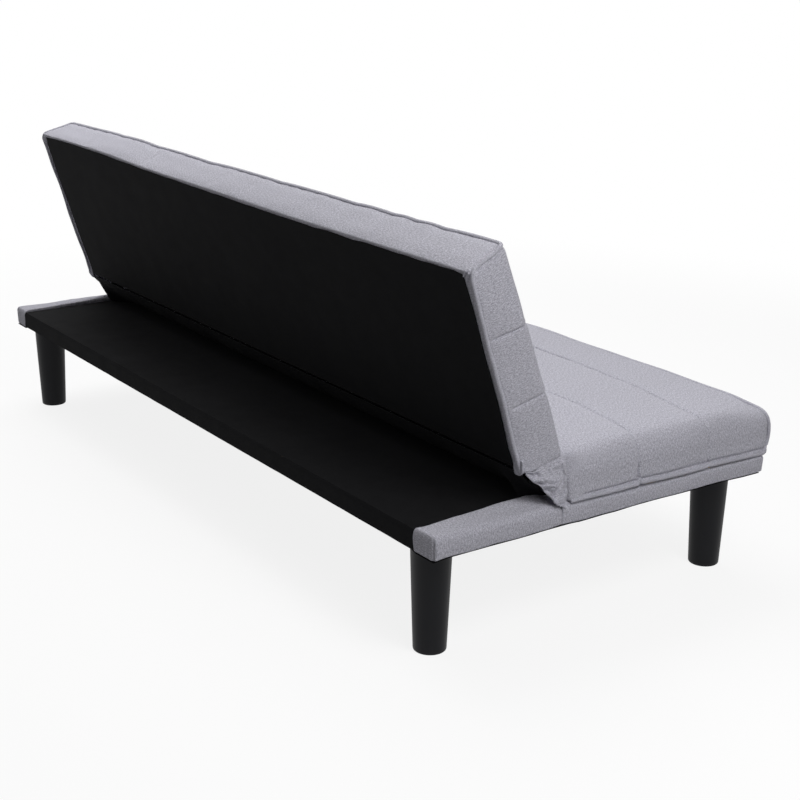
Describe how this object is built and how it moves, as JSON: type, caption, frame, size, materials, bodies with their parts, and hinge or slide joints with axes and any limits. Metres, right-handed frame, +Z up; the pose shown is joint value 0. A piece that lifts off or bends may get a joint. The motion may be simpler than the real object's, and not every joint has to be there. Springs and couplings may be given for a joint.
{
  "type": "click clack sofa bed",
  "caption": "Armless padded sofa whose channelled backrest tips down on ratchet hinges to make a flat bed, on tapered legs.",
  "frame": {"origin": "on the floor, below the middle of the outline in the sofa position", "axes": "+X along the sofa to a sitter's left, +Y to the back, +Z up"},
  "size_m": [1.68, 0.756, 0.6531],
  "materials": {
    "grey_fabric": "woven",
    "black_cloth": "matte",
    "black_plastic": "satin",
    "timber": "planed",
    "hardboard": "matte",
    "painted_steel": "satin",
    "bright_steel": "zinc"
  },
  "bodies": {
    "base": {"front_leg_left": "black_plastic", "rear_leg_left": "black_plastic", "front_leg_right": "black_plastic", "rear_leg_right": "black_plastic", "front_corner_block_left": "timber", "rear_corner_block_left": "timber", "front_corner_block_right": "timber", "rear_corner_block_right": "timber", "base_side_rail_left": "timber", "base_side_rail_right": "timber", "base_front_rail": "timber", "base_middle_rail": "timber", "base_rear_rail": "timber", "base_stretcher": "timber", "spring_batten_front": "timber", "spring_batten_rear": "timber", "seat_spring_1": "bright_steel", "seat_spring_2": "bright_steel", "seat_spring_3": "bright_steel", "seat_spring_4": "bright_steel", "seat_cushion": "grey_fabric", "rear_side_cover_left": "grey_fabric", "rear_side_cover_right": "grey_fabric", "front_side_cover_left": "grey_fabric", "front_side_cover_right": "grey_fabric", "front_cover": "grey_fabric", "deck_cloth": "black_cloth", "dust_cloth": "black_cloth", "base_hinge_arm_left": "painted_steel", "base_hinge_arm_right": "painted_steel", "pivot_rivet_left": "bright_steel", "pivot_rivet_right": "bright_steel", "base_arm_bolt_left_1": "bright_steel", "base_arm_bolt_left_2": "bright_steel", "base_arm_bolt_right_1": "bright_steel", "base_arm_bolt_right_2": "bright_steel", "gusset_left": "grey_fabric", "gusset_right": "grey_fabric", "hinge_flap": "black_cloth", "crease_cloth": "grey_fabric"},
    "backrest": {"back_side_rail_left": "timber", "back_side_rail_right": "timber", "back_stile_left": "timber", "back_stile_right": "timber", "back_bottom_rail": "timber", "back_top_rail": "timber", "back_board": "hardboard", "back_cushion": "grey_fabric", "back_cloth": "black_cloth", "back_hinge_arm_left": "painted_steel", "back_hinge_arm_right": "painted_steel", "back_arm_bolt_left_1": "bright_steel", "back_arm_bolt_left_2": "bright_steel", "back_arm_bolt_right_1": "bright_steel", "back_arm_bolt_right_2": "bright_steel", "pawl_spring_left": "bright_steel", "pawl_spring_right": "bright_steel"},
    "pawl_left": {"pawl_left": "bright_steel"},
    "pawl_right": {"pawl_right": "bright_steel"}
  },
  "joints": [
    {"name": "backrest_hinge", "type": "hinge", "parent": "base", "child": "backrest", "pos_m": [0, 0.14, 0.278], "axis": [-1, 0, 0], "range_deg": [-8, 72.5], "deforming": ["gusset_left", "gusset_right", "hinge_flap", "crease_cloth"]},
    {"name": "pawl_left_pivot", "type": "hinge", "parent": "backrest", "child": "pawl_left", "pos_m": [0.7842, 0.17975, 0.30024], "axis": [-1, 0, 0], "range_deg": [0, 7], "stiffness_Nm_per_rad": 0.05, "deforming": ["pawl_spring_left"]},
    {"name": "pawl_right_pivot", "type": "hinge", "parent": "backrest", "child": "pawl_right", "pos_m": [-0.7842, 0.17975, 0.30024], "axis": [-1, 0, 0], "range_deg": [0, 7], "stiffness_Nm_per_rad": 0.05, "deforming": ["pawl_spring_right"]}
  ]
}
